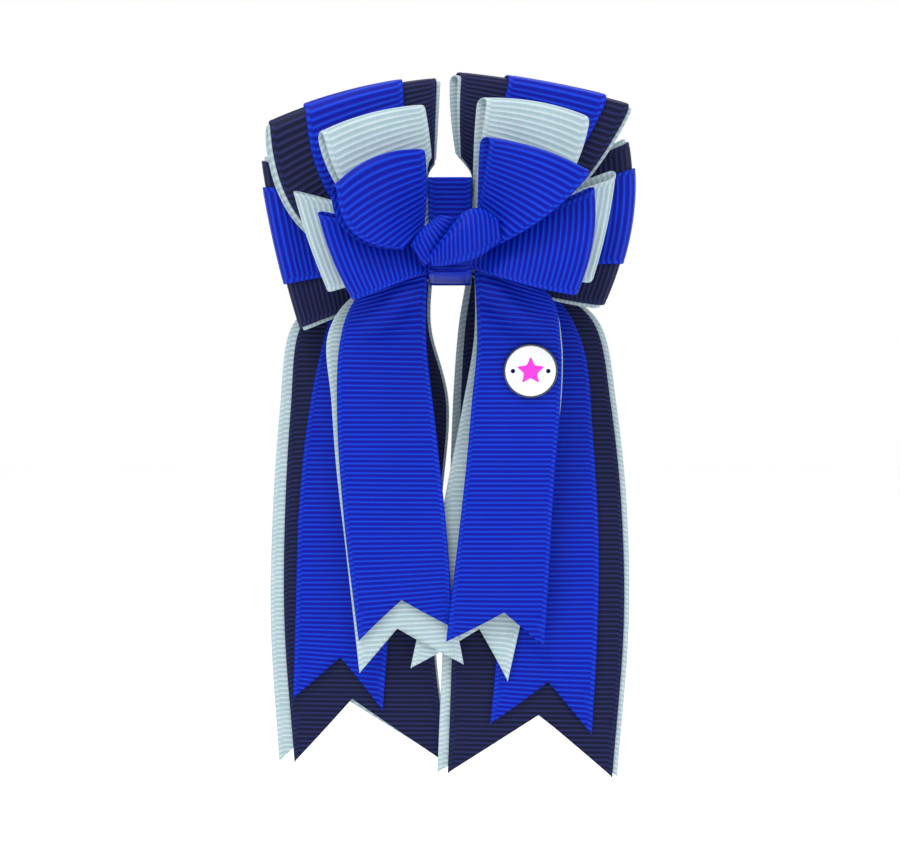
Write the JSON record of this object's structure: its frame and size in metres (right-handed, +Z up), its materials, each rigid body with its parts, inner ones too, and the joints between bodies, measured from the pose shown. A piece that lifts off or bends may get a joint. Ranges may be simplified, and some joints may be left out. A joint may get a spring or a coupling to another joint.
{
  "type": "layered ribbon bow",
  "caption": "Layered grosgrain ribbon bow with looped tiers, a knot, long notched tails and a small round charm, on a hinged clip.",
  "frame": {"origin": "middle of the grip face of the clip's base plate, behind the knot", "axes": "+Z up along the hanging tails' length, -Y out of the front of the bow, +X to the viewer's right"},
  "size_m": [0.0839, 0.0475, 0.1589],
  "materials": {
    "royal_ribbon": "ribbed grosgrain, semi-matt",
    "navy_ribbon": "ribbed grosgrain, semi-matt",
    "light_ribbon": "ribbed grosgrain, semi-matt",
    "clip_metal": "nickel plated",
    "spring_steel": "drawn wire",
    "charm_metal": "polished silver tone",
    "charm_enamel": "glossy enamel",
    "charm_inlay": "glossy enamel"
  },
  "bodies": {
    "bow": {"back_loop_upper_left_lining": "light_ribbon", "back_loop_upper_left_navy": "navy_ribbon", "back_loop_upper_left_stripe": "royal_ribbon", "middle_loop_upper_left": "light_ribbon", "front_loop_upper_left": "royal_ribbon", "back_loop_upper_right_lining": "light_ribbon", "back_loop_upper_right_navy": "navy_ribbon", "back_loop_upper_right_stripe": "royal_ribbon", "middle_loop_upper_right": "light_ribbon", "front_loop_upper_right": "royal_ribbon", "back_loop_side_left_lining": "light_ribbon", "back_loop_side_left_navy": "navy_ribbon", "back_loop_side_left_stripe": "royal_ribbon", "middle_loop_side_left": "light_ribbon", "front_loop_side_left": "royal_ribbon", "back_loop_side_right_lining": "light_ribbon", "back_loop_side_right_navy": "navy_ribbon", "back_loop_side_right_stripe": "royal_ribbon", "middle_loop_side_right": "light_ribbon", "front_loop_side_right": "royal_ribbon", "centre_wrap": "royal_ribbon", "knot_lobe_left": "royal_ribbon", "knot_lobe_right": "royal_ribbon", "clip_lining": "royal_ribbon", "clip_base": "clip_metal", "clip_pin": "clip_metal", "clip_spring": "spring_steel"},
    "clip_jaw": {"clip_jaw": "clip_metal"},
    "front_tails": {"middle_tail_left": "light_ribbon", "front_tail_left": "royal_ribbon", "middle_tail_right": "light_ribbon", "front_tail_right": "royal_ribbon", "charm_cup": "charm_metal", "charm_face": "charm_enamel", "charm_star": "charm_inlay"},
    "back_tails": {"back_tail_left_lining": "light_ribbon", "back_tail_left_navy": "navy_ribbon", "back_tail_left_stripe": "royal_ribbon", "back_tail_right_lining": "light_ribbon", "back_tail_right_navy": "navy_ribbon", "back_tail_right_stripe": "royal_ribbon"}
  },
  "joints": [
    {"name": "jaw_hinge", "type": "hinge", "parent": "bow", "child": "clip_jaw", "pos_m": [0.009, 0.0032, 0], "axis": [0, 0, -1], "range_deg": [0, 30], "stiffness_Nm_per_rad": 0.05, "springref_deg": -28.65, "deforming": ["clip_spring"]},
    {"name": "front_tails_swing", "type": "hinge", "parent": "bow", "child": "front_tails", "pos_m": [0, -0.0158, -0.011], "axis": [-1, 0, 0], "range_deg": [0, 35], "stiffness_Nm_per_rad": 0.004, "springref_deg": -11.46},
    {"name": "back_tails_swing", "type": "hinge", "parent": "bow", "child": "back_tails", "pos_m": [0, 0, -0.011], "axis": [1, 0, 0], "range_deg": [0, 25], "stiffness_Nm_per_rad": 0.004, "springref_deg": -11.46}
  ]
}
